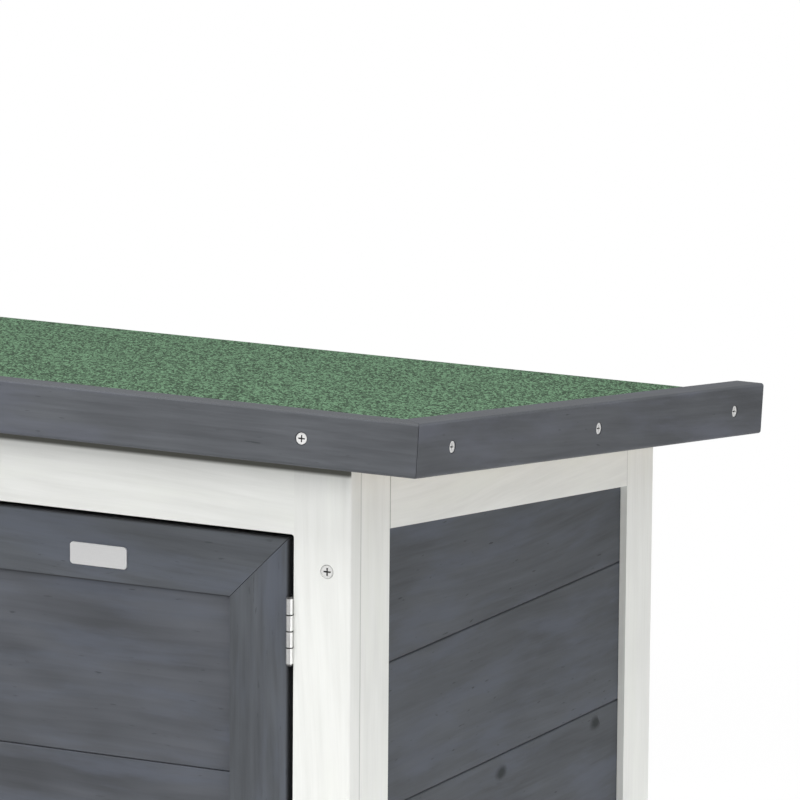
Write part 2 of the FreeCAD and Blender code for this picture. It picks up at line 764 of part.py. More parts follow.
save("tray_knob", knob_face.revolve(Vector(tray_middle, front, tray_centre), Vector(0, 1, 0), 360))

# Roof
roof_half = half + side_overhang
roof_inner = roof_half - fascia_thickness
deck_front = fascia_thickness - front_overhang
fascia_low = -fascia_drop
fascia_high = fascia_height - fascia_drop
board_pitch = (roof_end - felt_thickness - deck_front) / roof_board_count
roof_boards = []
for row in range(roof_board_count):
    start = deck_front + row * board_pitch
    roof_boards.append(box(-roof_inner, roof_inner, start, start + board_pitch - plank_seam, 0,
                           roof_board_thickness))
fascia_ring = eased(box(-roof_half, roof_half, -front_overhang, roof_end, fascia_low, fascia_high), arris,
                    lambda edge: (edge.Vertexes[0].Y < roof_end - 1 or edge.Vertexes[-1].Y < roof_end - 1))
fascia_ring = fascia_ring.cut(box(-roof_inner, roof_inner, deck_front, roof_end + 1, fascia_low - 1, fascia_high + 1))
fascia_ring = eased(fascia_ring, board_ease, lambda edge: edge.Vertexes[0].Z > fascia_high - 0.1
                    and edge.Vertexes[-1].Z > fascia_high - 0.1
                    and abs(edge.CenterOfMass.x) < roof_inner + 0.1 and edge.CenterOfMass.y > deck_front - 0.1
                    and edge.CenterOfMass.y < roof_end - 1)
mitre = mitre_gap / math.sqrt(2)


def wedge(points):
    """Upright prism that parts the fascia ring, from (x, u) pairs."""
    return prism([Vector(x, u, fascia_low - 1) for x, u in points], Vector(0, 0, fascia_height + 2))


front_wedge = wedge([(-roof_half - 1 + mitre, -front_overhang - 1), (roof_half + 1 - mitre, -front_overhang - 1),
                     (roof_inner - mitre, deck_front), (-roof_inner + mitre, deck_front)])
side_wedge = wedge([(roof_half + 1, -front_overhang - 1 + mitre), (roof_half + 1, roof_end + 1),
                    (roof_inner, roof_end + 1), (roof_inner, deck_front + mitre)])
fascia_cuts = []
screw_w = fascia_low + fascia_screw_height
front_screw_spacing = 2 * (roof_half - front_screw_inset) / 3
for index in range(4):
    seat = Vector(-roof_half + front_screw_inset + index * front_screw_spacing, -front_overhang, screw_w)
    fascia_cuts.append(set_screw(fascia_head_radius, fascia_screw_length, seat, Vector(0, -1, 0)))
for along in side_screws_along:
    for side in (-1, 1):
        seat = Vector(side * roof_half, along - front_overhang, screw_w)
        fascia_cuts.append(set_screw(fascia_head_radius, fascia_screw_length, seat, Vector(side, 0, 0)))
fascia_screws = [fastener for fastener, hole in fascia_cuts]
fascia_holes = [hole for fastener, hole in fascia_cuts]
save("roof_front_fascia", on_roof(drilled(fascia_ring.common(front_wedge), fascia_holes)))
side_fascia = fascia_ring.common(side_wedge)
save("roof_right_fascia", on_roof(drilled(side_fascia, fascia_holes)))
save("roof_left_fascia", on_roof(drilled(mirrored(side_fascia), fascia_holes)))
save("roof_boards", *[on_roof(drilled(board, fascia_holes)) for board in roof_boards])
save("fascia_screws", *[on_roof(fastener) for fastener in fascia_screws])

felt_low = roof_board_thickness
felt = box(-roof_inner, roof_inner, deck_front, roof_end, felt_low, felt_low + felt_thickness)
felt = felt.fuse(box(-roof_inner, roof_inner, roof_end - felt_thickness, roof_end, 0, felt_low + 1))
save("roof_felt", on_roof(felt.removeSplitter()))

batten_front = frame_thickness + batten_clearance
batten_back = (body_depth - frame_thickness - batten_clearance) / math.cos(pitch)
battens = []
batten_places = (-inner + batten_clearance, divider_left - batten_clearance - batten_width,
                 inner - batten_clearance - batten_width)
for left in batten_places:
    battens.append(box(left, left + batten_width, batten_front, batten_back, -batten_height, 0))
save("roof_battens", *[on_roof(batten) for batten in battens])

# Roof hinges: the pin lies behind the back frame, just under the roof boards
roof_bore = roof_pin_radius + running_gap
roof_leaf_shapes = [leaf(roof_hinge_length, 5, own, roof_pin_offset, leaf_thickness, roof_leaf_depth,
                         roof_knuckle_radius, roof_bore) for own in (0, 1)]
pin_y = back + roof_pin_offset
pin_u = (pin_y - front + roof_pin_offset * math.sin(pitch)) / math.cos(pitch)
pin_z = front_height - pin_u * math.sin(pitch) - roof_pin_offset * math.cos(pitch)
back_leaves = []
lid_leaves = []
roof_pins = []
for side in (-1, 1):
    middle = side * (half - roof_hinge_from_side)
    low = Vector(middle - roof_hinge_length / 2, pin_y, pin_z)
    high = Vector(middle + roof_hinge_length / 2, pin_y, pin_z)
    back_leaves.append(placed(roof_leaf_shapes[0], low, Vector(0, -1, 0), Vector(0, 0, -1)))
    lid_leaves.append(placed(roof_leaf_shapes[1], high, roof_w, roof_u))
    roof_pins.append(placed(hinge_pin(roof_hinge_length, roof_pin_radius, roof_knuckle_radius * roof_head_ratio),
                            low, Vector(0, -1, 0), Vector(0, 0, -1)))
save("roof_hinge_back_leaves", *back_leaves, *roof_pins)
save("roof_hinge_lid_leaves", *lid_leaves)
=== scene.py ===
"""Looks of the wooden rabbit hutch: finishes, round wire, small fixings, studio light and camera."""

import functools
import logging
import math
from dataclasses import dataclass, replace
from enum import Enum

import bpy
import numpy as np
from mathutils import Matrix, Vector


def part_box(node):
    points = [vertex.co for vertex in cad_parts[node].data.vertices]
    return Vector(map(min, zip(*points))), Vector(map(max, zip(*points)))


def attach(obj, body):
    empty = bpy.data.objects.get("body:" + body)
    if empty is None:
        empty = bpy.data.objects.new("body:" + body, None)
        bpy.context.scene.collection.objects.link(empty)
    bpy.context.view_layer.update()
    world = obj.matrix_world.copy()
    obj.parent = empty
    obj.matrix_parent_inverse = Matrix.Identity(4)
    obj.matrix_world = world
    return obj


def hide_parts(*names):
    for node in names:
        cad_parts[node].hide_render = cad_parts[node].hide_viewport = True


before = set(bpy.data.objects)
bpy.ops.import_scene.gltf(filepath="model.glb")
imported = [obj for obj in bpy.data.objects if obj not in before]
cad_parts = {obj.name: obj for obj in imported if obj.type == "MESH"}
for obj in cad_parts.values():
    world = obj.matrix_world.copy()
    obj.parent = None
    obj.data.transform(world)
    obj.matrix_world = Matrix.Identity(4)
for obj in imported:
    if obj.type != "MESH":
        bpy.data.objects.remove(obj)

log = logging.getLogger("hutch")

Colour = tuple[float, float, float]
Point = tuple[float, float, float]
Surface = tuple[np.ndarray, np.ndarray]
Sockets = dict[str | int, object]

MM = 0.001
# Stands for a place or a width that no piece reaches.
FAR_AWAY = 10.0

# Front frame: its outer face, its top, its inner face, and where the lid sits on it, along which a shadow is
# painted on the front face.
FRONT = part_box("front_right_stile")[0][1]
FRONT_TOP = 788.0 * MM
FRONT_INSIDE = FRONT + 12.5 * MM
LID_SHADOW_LINE = FRONT_TOP - 14.4 * MM

# Lid: its slope, half its width, and how far its front fascia stands out from the front frame.
ROOF_PITCH = math.radians(6.77)
LID_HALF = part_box("roof_front_fascia")[1][0]
FRONT_OVERHANG = 19.0 * MM

# Boards.
SIDE_FACE = 400.0 * MM
BACK_STILE_WIDTH = 34.8 * MM
BACK_TIER_START = 407.5 * MM
BOARD_WIDTH = 83.4 * MM
PANEL_BOARD_WIDTH = 98.8 * MM
ROOF_BOARD_WIDTH = 87.0 * MM

# Wire, hinges and screws.
MESH_PITCH = 19.0 * MM
WIRE_SIZE = 1.4 * MM
DOOR_EASE = 1.6 * MM
HINGE_LENGTH = 36.9 * MM
KNUCKLES = 4
HEAD_SINK = 0.5 * MM


class Along(Enum):
    """The way a board's grain runs."""

    ACROSS = "across the hutch"
    DEEP = "front to back"
    UP = "upwards"
    ROOF_ACROSS = "across the sloping roof"
    ROOF_DEEP = "down the sloping roof"
    MITRED = "round a mitred frame"
    BACK_FRAME = "up the stiles and across the rails of the back"


class Axis(Enum):
    """One axis of the row frame."""

    X = 0
    Y = 1
    Z = 2


def down_slope(y: "Signal | float", z: "Signal | float") -> "Signal | float":
    """Returns how far down the lid's slope a point lies."""
    return y * math.cos(ROOF_PITCH) - z * math.sin(ROOF_PITCH)


def linear(red: int, green: int, blue: int) -> Colour:
    """Turns a screen colour into scene light.

    Args:
        red: Red from 0 to 255.
        green: Green from 0 to 255.
        blue: Blue from 0 to 255.

    Returns:
        The three linear values.
    """
    parts = [value / 255.0 for value in (red, green, blue)]
    curved = [part / 12.92 if part <= 0.04045 else ((part + 0.055) / 1.055) ** 2.4 for part in parts]
    return (curved[0], curved[1], curved[2])


class Signal:
    """A shader socket that can be used in arithmetic."""

    def __init__(self, shader: "Shader", socket: bpy.types.NodeSocket | None) -> None:
        """Keeps the socket and the shader it belongs to.

        Args:
            shader: The shader whose nodes are being made.
            socket: The output socket that carries the value.
        """
        self.shader = shader
        self.socket = socket

    def maths(self, operation: str, *values: object) -> "Signal":
        """Adds one Math node.

        Args:
            operation: The Math node's operation.
            values: Its inputs in order.

        Returns:
            The node's result.
        """
        return self.shader.node("ShaderNodeMath", {"operation": operation}, dict(enumerate(values)))

    def __add__(self, other: object) -> "Signal":
        """Returns self plus other."""
        return self.maths("ADD", self, other)

    def __radd__(self, other: object) -> "Signal":
        """Returns other plus self."""
        return self.maths("ADD", other, self)

    def __sub__(self, other: object) -> "Signal":
        """Returns self less other."""
        return self.maths("SUBTRACT", self, other)

    def __rsub__(self, other: object) -> "Signal":
        """Returns other less self."""
        return self.maths("SUBTRACT", other, self)

    def __mul__(self, other: object) -> "Signal":
        """Returns self times other."""
        return self.maths("MULTIPLY", self, other)

    def __rmul__(self, other: object) -> "Signal":
        """Returns other times self."""
        return self.maths("MULTIPLY", other, self)

    def __truediv__(self, other: object) -> "Signal":
        """Returns self divided by other."""
        return self.maths("DIVIDE", self, other)

    def size(self) -> "Signal":
        """Returns the value without its sign."""
        return self.maths("ABSOLUTE", self)

    def root(self) -> "Signal":
        """Returns the square root."""
        return self.maths("SQRT", self)

    def whole(self) -> "Signal":
        """Returns the value rounded down."""
        return self.maths("FLOOR", self)

    def part(self) -> "Signal":
        """Returns what is left after rounding down."""
        return self.maths("FRACT", self)

    def least(self, other: object) -> "Signal":
        """Returns the smaller of self and other."""
        return self.maths("MINIMUM", self, other)

    def below(self, other: object) -> "Signal":
        """Returns 1 where self is less than other and 0 elsewhere."""
        return self.maths("LESS_THAN", self, other)

    def rise(self, low: float, high: float) -> "Signal":
        """Rises smoothly from 0 at low to 1 at high.

        Args:
            low: Value where the result is 0.
            high: Value where the result is 1.

        Returns:
            The eased share.
        """
        settings = {"interpolation_type": "SMOOTHSTEP", "clamp": True}
        inputs: Sockets = {"Value": self, "From Min": low, "From Max": high}
        return self.shader.node("ShaderNodeMapRange", settings, inputs)

    def blend(self, low: object, high: object) -> "Signal":
        """Blends two numbers with self as the share.

        Args:
            low: Value where self is 0.
            high: Value where self is 1.

        Returns:
            The blended number.
        """
        return self.shader.node("ShaderNodeMix", {"data_type": "FLOAT"}, {0: self, 2: low, 3: high})

    def tint(self, low: object, high: object) -> "Signal":
        """Blends two colours with self as the share.

        Args:
            low: Colour where self is 0.
            high: Colour where self is 1.

        Returns:
            The blended colour.
        """
        return self.shader.node("ShaderNodeMix", {"data_type": "RGBA"}, {0: self, 6: low, 7: high}, 2)


class Shader:
    """One material and the nodes in it."""

    def __init__(self, name: str) -> None:
        """Starts an empty material.

        Args:
            name: The material's name.
        """
        self.material = bpy.data.materials.new(name)
        self.material.use_nodes = True
        self.tree = self.material.node_tree
        self.tree.nodes.clear()

    def node(self, kind: str, settings: dict[str, object] | None = None, inputs: Sockets | None = None,
             output: str | int = 0) -> Signal:
        """Adds a node.

        Args:
            kind: The node's type name.
            settings: Values for the node's own properties.
            inputs: What goes into each input: a Signal, a number or a colour.
            output: Which output to give back.

        Returns:
            That output.
        """
        made = self.tree.nodes.new(kind)
        for name, value in (settings or {}).items():
            setattr(made, name, value)
        for key, value in (inputs or {}).items():
            socket = made.inputs[key]
            if isinstance(value, Signal):
                self.tree.links.new(value.socket, socket)
            elif socket.type == "RGBA" and len(value) == 3:
                socket.default_value = (*value, 1.0)
            else:
                socket.default_value = value
        return Signal(self, made.outputs[output] if len(made.outputs) else None)

    def place(self) -> tuple[Signal, Signal, Signal]:
        """Returns where the point is on the object, as three numbers in metres."""
        point = self.node("ShaderNodeTexCoord", output="Object")
        parts = self.node("ShaderNodeSeparateXYZ", inputs={0: point})
        outputs = parts.socket.node.outputs
        return Signal(self, outputs[0]), Signal(self, outputs[1]), Signal(self, outputs[2])

    def facing_up(self) -> Signal:
        """Returns how far the surface faces up on its own piece, from -1 to 1."""
        normal = self.node("ShaderNodeTexCoord", output="Normal")
        return self.node("ShaderNodeSeparateXYZ", inputs={0: normal}, output=2)

    def vector(self, x: object, y: object, z: object) -> Signal:
        """Returns three numbers joined into a vector."""
        return self.node("ShaderNodeCombineXYZ", inputs={0: x, 1: y, 2: z})

    def noise(self, where: Signal, scale: float, detail: float, roughness: float) -> Signal:
        """Adds soft noise.

        Args:
            where: The point, already stretched as wanted.
            scale: Waves per unit of the point.
            detail: Number of finer layers.
            roughness: Strength of the finer layers.

        Returns:
            A value about 0.5.
        """
        return self.node("ShaderNodeTexNoise", {"noise_dimensions": "3D"},
                         {"Vector": where, "Scale": scale, "Detail": detail, "Roughness": roughness})

    def cells(self, where: Signal, scale: float, dimensions: str = "3D") -> tuple[Signal, Signal]:
        """Adds scattered cells.

        Args:
            where: The point.
            scale: Cells per unit of the point.
            dimensions: 3D, or 2D where x and y alone tell the cells apart.

        Returns:
            Distance to the nearest cell's middle, and that cell's random value.
        """
        far = self.node("ShaderNodeTexVoronoi", {"voronoi_dimensions": dimensions},
                        {"Vector": where, "Scale": scale, "Randomness": 1.0})
        kind = Signal(self, far.socket.node.outputs["Color"])
        return far, self.node("ShaderNodeSeparateColor", inputs={0: kind})

    def chance(self, number: Signal, salt: float) -> Signal:
        """Returns a random value from 0 to 1 that belongs to a whole number.

        Args:
            number: The number of a board or patch.
            salt: Another salt gives another value.

        Returns:
            The random value.
        """
        return self.node("ShaderNodeTexWhiteNoise", {"noise_dimensions": "1D"}, {"W": number + salt})

    def bump(self, height: Signal, depth: float) -> Signal:
        """Adds small relief.

        Args:
            height: Relief from 0 to 1.
            depth: Real height of the relief in metres.

        Returns:
            The bent normal.
        """
        return self.node("ShaderNodeBump", inputs={"Height": height, "Distance": depth, "Strength": 1.0})

    def surface(self, inputs: Sockets) -> bpy.types.Material:
        """Ends the material in one Principled BSDF.

        Args:
            inputs: Its sockets.

        Returns:
            The finished material.
        """
        body = self.node("ShaderNodeBsdfPrincipled", inputs=inputs)
        self.node("ShaderNodeOutputMaterial", inputs={"Surface": body})
        return self.material


@dataclass(frozen=True)
class Lay:
    """How one node's boards lie, so that the grain follows each of them.

    Attributes:
        along: The way the grain runs.
        low: Lowest corner of a mitred frame.
        high: Highest corner of a mitred frame, or where the back's stiles begin.
        board_axis: Axis along which the boards follow each other.
        board_start: Where the first board begins.
        board_width: Width of one board.
        tier_start: Height above which the boards are counted from there.
        lid_shadow_line: Height of the line where the lid sits, under which a shadow is painted.
        edge_shade_width: Width of the painted shade along a door's outer edge.
        joints: Depths of the joint lines on the side faces.
    """

    along: Along
    low: Point = (0.0, 0.0, 0.0)
    high: Point = (0.0, 0.0, 0.0)
    board_axis: Axis = Axis.Z
    board_start: float = 0.0
    board_width: float = FAR_AWAY
    tier_start: float = FAR_AWAY
    lid_shadow_line: float = FAR_AWAY
    edge_shade_width: float = 0.0
    joints: tuple[float, ...] = ()

    def grain(self, shader: Shader) -> tuple[Signal, Signal, Signal, Signal]:
        """Finds the point's place on its own board.

        Args:
            shader: The shader that needs it.

        Returns:
            Distance along the grain, across the face, through the board, and the board's number.
        """
        x, y, z = shader.place()
        u = down_slope(y, z)
        w = y * math.sin(ROOF_PITCH) + z * math.cos(ROOF_PITCH)
        start = z.below(self.tier_start).blend(self.tier_start, self.board_start)
        number = (((x, y, z)[self.board_axis.value] - start) / self.board_width).whole()
        straight = {Along.ACROSS: (x, z, y), Along.DEEP: (y, z, x), Along.UP: (z, x, y),
                    Along.ROOF_DEEP: (u, w, x)}
        if self.along in straight:
            return *straight[self.along], number
        if self.along is Along.ROOF_ACROSS:
            return x, u, w, ((u - self.board_start) / self.board_width).whole()
        if self.along is Along.BACK_FRAME:
            upright = (self.high[0] - x.size()).below(0.0)
            number = upright * (x.below(0.0) + 1.0)
            return upright.blend(x, z), upright.blend(z, x), y, number + 7.0
        to_side = (x - self.low[0]).least(self.high[0] - x)
        to_end = (z - self.low[2]).least(self.high[2] - z)
        upright = to_side.below(to_end)
        far_side = x.below((self.low[0] + self.high[0]) / 2)
        far_end = z.below((self.low[2] + self.high[2]) / 2)
        number = upright.blend(far_end + 3.0, far_side + 5.0)
        return upright.blend(x, z), upright.blend(z, x), y, number


@dataclass(frozen=True)
class Wood:
    """Sawn softwood under a coat of paint or stain, or bare.

    Attributes:
        name: The finish's name.
        light: Colour of the light wood.
        dark: Colour of the dark wood.
        bloom: A third colour, in soft patches.
        cloud: Strength of the wide patches.
        streak: Strength of the streaks and fibres.
        rings: Strength of the year rings.
        knots: Share of the possible places that hold a knot.
        knot_colour: Colour of knots and specks.
        relief: Depth of the grain in metres.
        roughness: Mean roughness.
        coat: Weight of the clear coat.
        gloss: Specular level.
        speck: Strength of the small dark specks.
        painted_top_shade: How far faces that look up are painted darker, as shade.
    """

    name: str
    light: Colour
    dark: Colour
    bloom: Colour
    cloud: float = 0.35
    streak: float = 0.45
    rings: float = 0.05
    knots: float = 0.0
    knot_colour: Colour = (0.6, 0.58, 0.5)
    relief: float = 0.06 * MM
    roughness: float = 0.56
    coat: float = 0.0
    gloss: float = 0.3
    speck: float = 0.0
    painted_top_shade: float = 0.0

    def material(self, lay: Lay, salt: float) -> bpy.types.Material:
        """Makes the finish for boards that lie one way.

        Args:
            lay: How the boards lie.
            salt: Another salt gives other boards of the same wood.

        Returns:
            The material.
        """
        shader = Shader(f"{self.name}_{lay.along.name.lower()}_{salt:.0f}")
        along, across, through, number = lay.grain(shader)
        luck = shader.chance(number, salt)
        along = along + luck * 7.3
        across = across + shader.chance(number, salt + 31.0) * 3.1
        sway = shader.noise(shader.vector(along * 2.6, across * 5.0, through * 5.0), 1.0, 2.0, 0.45) - 0.5
        knot, halo = self.knot_marks(shader, along, across, through, luck)

        # Year rings round a heart that lies in or near the board.
        middle = across + sway * 0.05 + halo * 0.012
        deep = through + along * 0.018 + (luck - 0.5) * 0.09
        ring_far = (middle * middle * 0.5 + deep * deep).root()
        ring = (ring_far * 170.0 + sway * 3.0).part()
        late = ring.rise(0.25, 0.85) * (1.0 - ring.rise(0.86, 1.0))

        # Fibres and patches that run nearly straight along the board.
        slanted = across + along * 0.025 + sway * 0.03

        def drawn(run: float, cross: float, detail: float, rough: float, shift: object = 0.0) -> Signal:
            """Draws noise out along the grain.

            Args:
                run: Waves per metre along the grain.
                cross: Waves per metre over the grain.
                detail: Number of finer layers.
                rough: Strength of the finer layers.
                shift: Moves the noise through the board.

            Returns:
                A value about 0.5.
            """
            point = shader.vector(along * run, slanted * cross, through * cross + shift)
            return shader.noise(point, 1.0, detail, rough)

        fibre = drawn(15.0, 560.0, 2.0, 0.6)
        streaks = drawn(13.0, 130.0, 4.0, 0.6)
        clouds = drawn(10.0, 27.0, 2.0, 0.5, luck * 5.0)
        hues = drawn(10.0, 52.0, 4.0, 0.6, luck * -4.0)
        specks = shader.noise(shader.vector(along * 90.0, across * 420.0, through * 420.0), 1.0, 1.0, 0.5)
        marks = specks.rise(0.70, 0.80) * clouds.rise(0.35, 0.6)

        # Colour from dark to light, then the third colour, knots and specks, and painted shade on faces that
        # look up.
        share = 0.5 + (clouds - 0.5) * self.cloud + (streaks - 0.5) * self.streak
        share = share + (fibre - 0.5) * self.streak * 0.5 - (late - 0.4) * self.rings + (luck - 0.5) * 0.08
        colour = share.rise(0.0, 1.0).tint(self.dark, self.light)
        colour = (hues.rise(0.45, 0.70) * 0.6).tint(colour, self.bloom)
        colour = (knot * 0.8 + marks * self.speck).least(1.0).tint(colour, self.knot_colour)
        # Painted shade: faces that look up are blended toward the dark wood colour.
        if self.painted_top_shade > 0.0:
            colour = (shader.facing_up().rise(0.3, 0.9) * self.painted_top_shade).tint(colour, self.dark)
        colour = self.edges(shader, lay, colour)
        rough = self.roughness + (streaks - 0.5) * 0.16 + (1.0 - late) * 0.03
        normal = shader.bump(fibre * 0.35 + streaks * 0.5 + late * 0.25, self.relief)
        return shader.surface({"Base Color": colour, "Roughness": rough, "Normal": normal,
                               "Specular IOR Level": self.gloss, "Coat Weight": self.coat,
                               "Coat Roughness": 0.35})

    def knot_marks(self, shader: Shader, along: Signal, across: Signal, through: Signal,
                   luck: Signal) -> tuple[Signal, Signal]:
        """Scatters a few knots.

        Args:
            shader: The shader that needs them.
            along: Distance along the grain.
            across: Distance across the face.
            through: Distance through the board.
            luck: The board's random value.

        Returns:
            The share of knot and of the bent grain round it.
        """
        where = shader.vector(along * 9.0 + luck * 9.0, across * 14.0 + luck * 5.0, 0.0)
        far, chosen = shader.cells(where, 1.0, "2D")
        frayed = far + (shader.noise(shader.vector(along, across, through), 160.0, 3.0, 0.6) - 0.5) * 0.05
        wanted = chosen.rise(1.0 - self.knots, 1.0 - self.knots * 0.8)
        return (1.0 - frayed.rise(0.02, 0.08)) * wanted, (1.0 - far.rise(0.0, 0.5)) * wanted

    def edges(self, shader: Shader, lay: Lay, colour: Signal) -> Signal:
        """Paints shade on a door's outer edge and a shadow under the line where the lid sits, and darkens the
        joints on the side faces.

        Args:
            shader: The shader that needs it.
            lay: How the boards lie, with the width of its painted edge shade, the line of its painted lid
                shadow, and its joints.
            colour: The colour so far.

        Returns:
            The colour with its painted shade and shadow and its dark joints.
        """
        x, y, z = shader.place()
        # Painted shade: near black along the door's outer edge, standing in for the shade in the gap round
        # the door.
        if lay.edge_shade_width > 0.0:
            inset = (x - lay.low[0]).least(lay.high[0] - x).least(z - lay.low[2]).least(lay.high[2] - z)
            colour = ((1.0 - inset.rise(0.0, lay.edge_shade_width)) * 0.85).tint(colour, (0.012, 0.012, 0.013))
        # Painted shadow: a dark band just under the lid's front edge, on the front face only, standing in for
        # the shadow the lid casts.
        if lay.lid_shadow_line < FAR_AWAY:
            shade = z.rise(lay.lid_shadow_line - 2.2 * MM, lay.lid_shadow_line + 0.3 * MM)
            under = 1.0 - z.rise(lay.lid_shadow_line + 2.0 * MM, lay.lid_shadow_line + 5.0 * MM)
            colour = (shade * under * y.below(FRONT + 1.0 * MM) * 0.93).tint(colour, (0.045, 0.045, 0.033))
        for depth in lay.joints:
            line = 1.0 - (y - depth).size().rise(0.25 * MM, 0.8 * MM)
            outside = x.size().rise(SIDE_FACE - 1.2 * MM, SIDE_FACE - 0.6 * MM)
            colour = (line * outside * 0.5).tint(colour, (0.22, 0.22, 0.21))
        return colour


@dataclass(frozen=True)
class Felt:
    """Mineral roofing felt: green slate chips pressed into bitumen.

    Attributes:
        name: The finish's name.
        pale: Colour of the chips.
        deep: Colour between the chips.
        chip: Size of a chip.
        stretch: Width of a chip as a share of its length down the roof.
        slant: How far the rows of chips lean.
    """

    name: str
    pale: Colour
    deep: Colour
    chip: float
    stretch: float
    slant: float

    def material(self, lay: Lay, salt: float) -> bpy.types.Material:
        """Makes the finish.

        Args:
            lay: Not used: the chips have no grain.
            salt: Moves the pattern.

        Returns:
            The material.
        """
        shader = Shader(self.name)
        x, y, z = shader.place()
        where = shader.vector(x + y * self.slant + salt, y * self.stretch, z)
        chips, tone = shader.cells(where, 1.0 / self.chip)
        grit = shader.noise(where, 1.1 / self.chip, 3.0, 0.6)
        patches = shader.noise(where, 260.0, 3.0, 0.6)
        spread = shader.noise(where, 9.0, 2.0, 0.5)
        share = 0.42 + (tone - 0.5) * 0.75 + (patches - 0.5) * 0.5 + (grit - 0.5) * 1.5 + (spread - 0.5) * 0.2
        colour = share.rise(0.0, 1.0).tint(self.deep, self.pale)
        relief = (1.0 - chips.rise(0.0, 0.9)) * 0.6 + tone * 0.4
        normal = shader.bump(relief, 0.35 * MM)
        return shader.surface({"Base Color": colour, "Roughness": 0.86, "Normal": normal,
                               "Specular IOR Level": 0.3})


@dataclass(frozen=True)
class Metal:
    """Plated or galvanised steel, or plain aluminium.

    Attributes:
        name: The finish's name.
        colour: Colour of the bright metal.
        roughness: Mean roughness.
        mottle: Strength of the darker cells.
        grain: Size of a cell.
        brushed: Whether fine level lines replace the cells.
        gaps: Heights of dark lines, as between a hinge's knuckles.
    """

    name: str
    colour: Colour
    roughness: float = 0.34
    mottle: float = 0.05
    grain: float = 1.4 * MM
    brushed: bool = False
    gaps: tuple[float, ...] = ()

    def material(self, lay: Lay, salt: float) -> bpy.types.Material:
        """Makes the finish.

        Args:
            lay: Not used: metal has no grain.
            salt: Moves the pattern.

        Returns:
            The material.
        """
        shader = Shader(self.name)
        x, y, z = shader.place()
        where = shader.vector(x + salt, y, z)
        if self.brushed:
            tone = shader.noise(shader.vector(x * 60.0, y * 60.0, z * 5200.0), 1.0, 2.0, 0.6)
        else:
            _, tone = shader.cells(where, 1.0 / self.grain)
        dust = shader.noise(where, 700.0, 3.0, 0.6)
        share = (tone * 0.6 + dust * 0.4).rise(0.15, 0.85)
        dull: Colour = tuple(value * (1.0 - self.mottle) for value in self.colour)
        colour = share.tint(dull, self.colour)
        for height in self.gaps:
            line = 1.0 - (z - height).size().rise(0.25 * MM, 0.45 * MM)
            colour = (line * 0.9).tint(colour, (0.03, 0.03, 0.03))
        rough = self.roughness + (tone - 0.5) * self.mottle + (dust - 0.5) * 0.06
        normal = shader.bump(dust * 0.5 + tone * 0.5, 0.004 * MM)
        return shader.surface({"Base Color": colour, "Metallic": 1.0, "Roughness": rough, "Normal": normal})


@dataclass(frozen=True)
class Head:
    """Bright screws: pale plated heads whose pressed crosses are painted dark, as shade.

    Attributes:
        name: The finish's name.
        colour: Colour of the head.
        recess_shade: Colour of the painted shade inside the cross.
        roof: Whether the heads are the lid's, and not the front frame's.
    """

    name: str
    colour: Colour
    recess_shade: Colour
    roof: bool

    def material(self, lay: Lay, salt: float) -> bpy.types.Material:
        """Makes the finish.

        Args:
            lay: Not used: metal has no grain.
            salt: Moves the pattern.

        Returns:
            The material.
        """
        shader = Shader(self.name)
        x, y, z = shader.place()
        sunk = y - (FRONT + HEAD_SINK)
        if self.roof:
            fascia_face = down_slope(FRONT, FRONT_TOP) - FRONT_OVERHANG
            sunk = (down_slope(y, z) - (fascia_face + HEAD_SINK)).least((LID_HALF - HEAD_SINK) - x.size())
        # Painted shade: below the head's face the cross turns dark, dull and less metallic.
        deep = sunk.rise(0.12 * MM, 0.3 * MM)
        dust = shader.noise(shader.vector(x + salt, y, z), 900.0, 2.0, 0.6)
        pale = (dust.rise(0.3, 0.7) * 0.25).tint(self.colour, tuple(value * 0.8 for value in self.colour))
        colour = deep.tint(pale, self.recess_shade)
        return shader.surface({"Base Color": colour, "Metallic": (1.0 - deep) * 0.35,
                               "Roughness": deep.blend(0.36, 0.7) + (dust - 0.5) * 0.1,
                               "Normal": shader.bump(dust, 0.01 * MM)})


def knuckle_gaps() -> tuple[float, ...]:
    """Returns the heights of the gaps between the knuckles of every door's hinges."""
    heights: list[float] = []
    for door in ("nest", "run", "lower"):
        low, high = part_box(door + "_door_hinge_leaves")
        for base in (low[2], high[2] - HINGE_LENGTH):
            heights += [base + HINGE_LENGTH * step / KNUCKLES for step in range(1, KNUCKLES)]
    return tuple(heights)


WHITE = Wood("white_paint", linear(241, 242, 239), linear(222, 223, 219), linear(235, 237, 231), streak=0.75,
             roughness=0.50)
GREY = Wood("grey_stain", linear(97, 101, 107), linear(56, 58, 60), linear(90, 95, 106), rings=0.04,
            knot_colour=linear(26, 31, 30), gloss=0.22, speck=0.45)
PANEL_GREY = replace(GREY, name="panel_stain", light=linear(99, 102, 109), dark=linear(54, 56, 58), cloud=0.9,
                     streak=0.2)
PLANK_GREY = replace(GREY, name="plank_stain", knots=0.30, speck=0.6)
# The roof's grey carries painted shade on its faces that look up.
ROOF_GREY = replace(GREY, name="roof_stain", light=linear(101, 104, 109), dark=linear(60, 62, 65),
                    bloom=linear(95, 98, 108), painted_top_shade=0.75)
BARE = Wood("bare_pine", linear(222, 200, 162), linear(192, 162, 118), linear(210, 182, 138), cloud=0.4,
            rings=0.32, knots=0.10, knot_colour=linear(120, 78, 44), relief=0.10 * MM, roughness=0.62)
TURNED = replace(BARE, name="turned_pine", knots=0.0, relief=0.06 * MM, roughness=0.42, coat=0.25, gloss=0.4)
GREEN_FELT = Felt("green_felt", linear(85, 117, 89), linear(25, 45, 28), chip=1.2 * MM, stretch=0.25,
                  slant=0.45)
ZINC = Metal("bright_zinc", (0.86, 0.86, 0.85), roughness=0.30)
HINGE_ZINC = Metal("hinge_zinc", (0.86, 0.86, 0.85), gaps=knuckle_gaps())
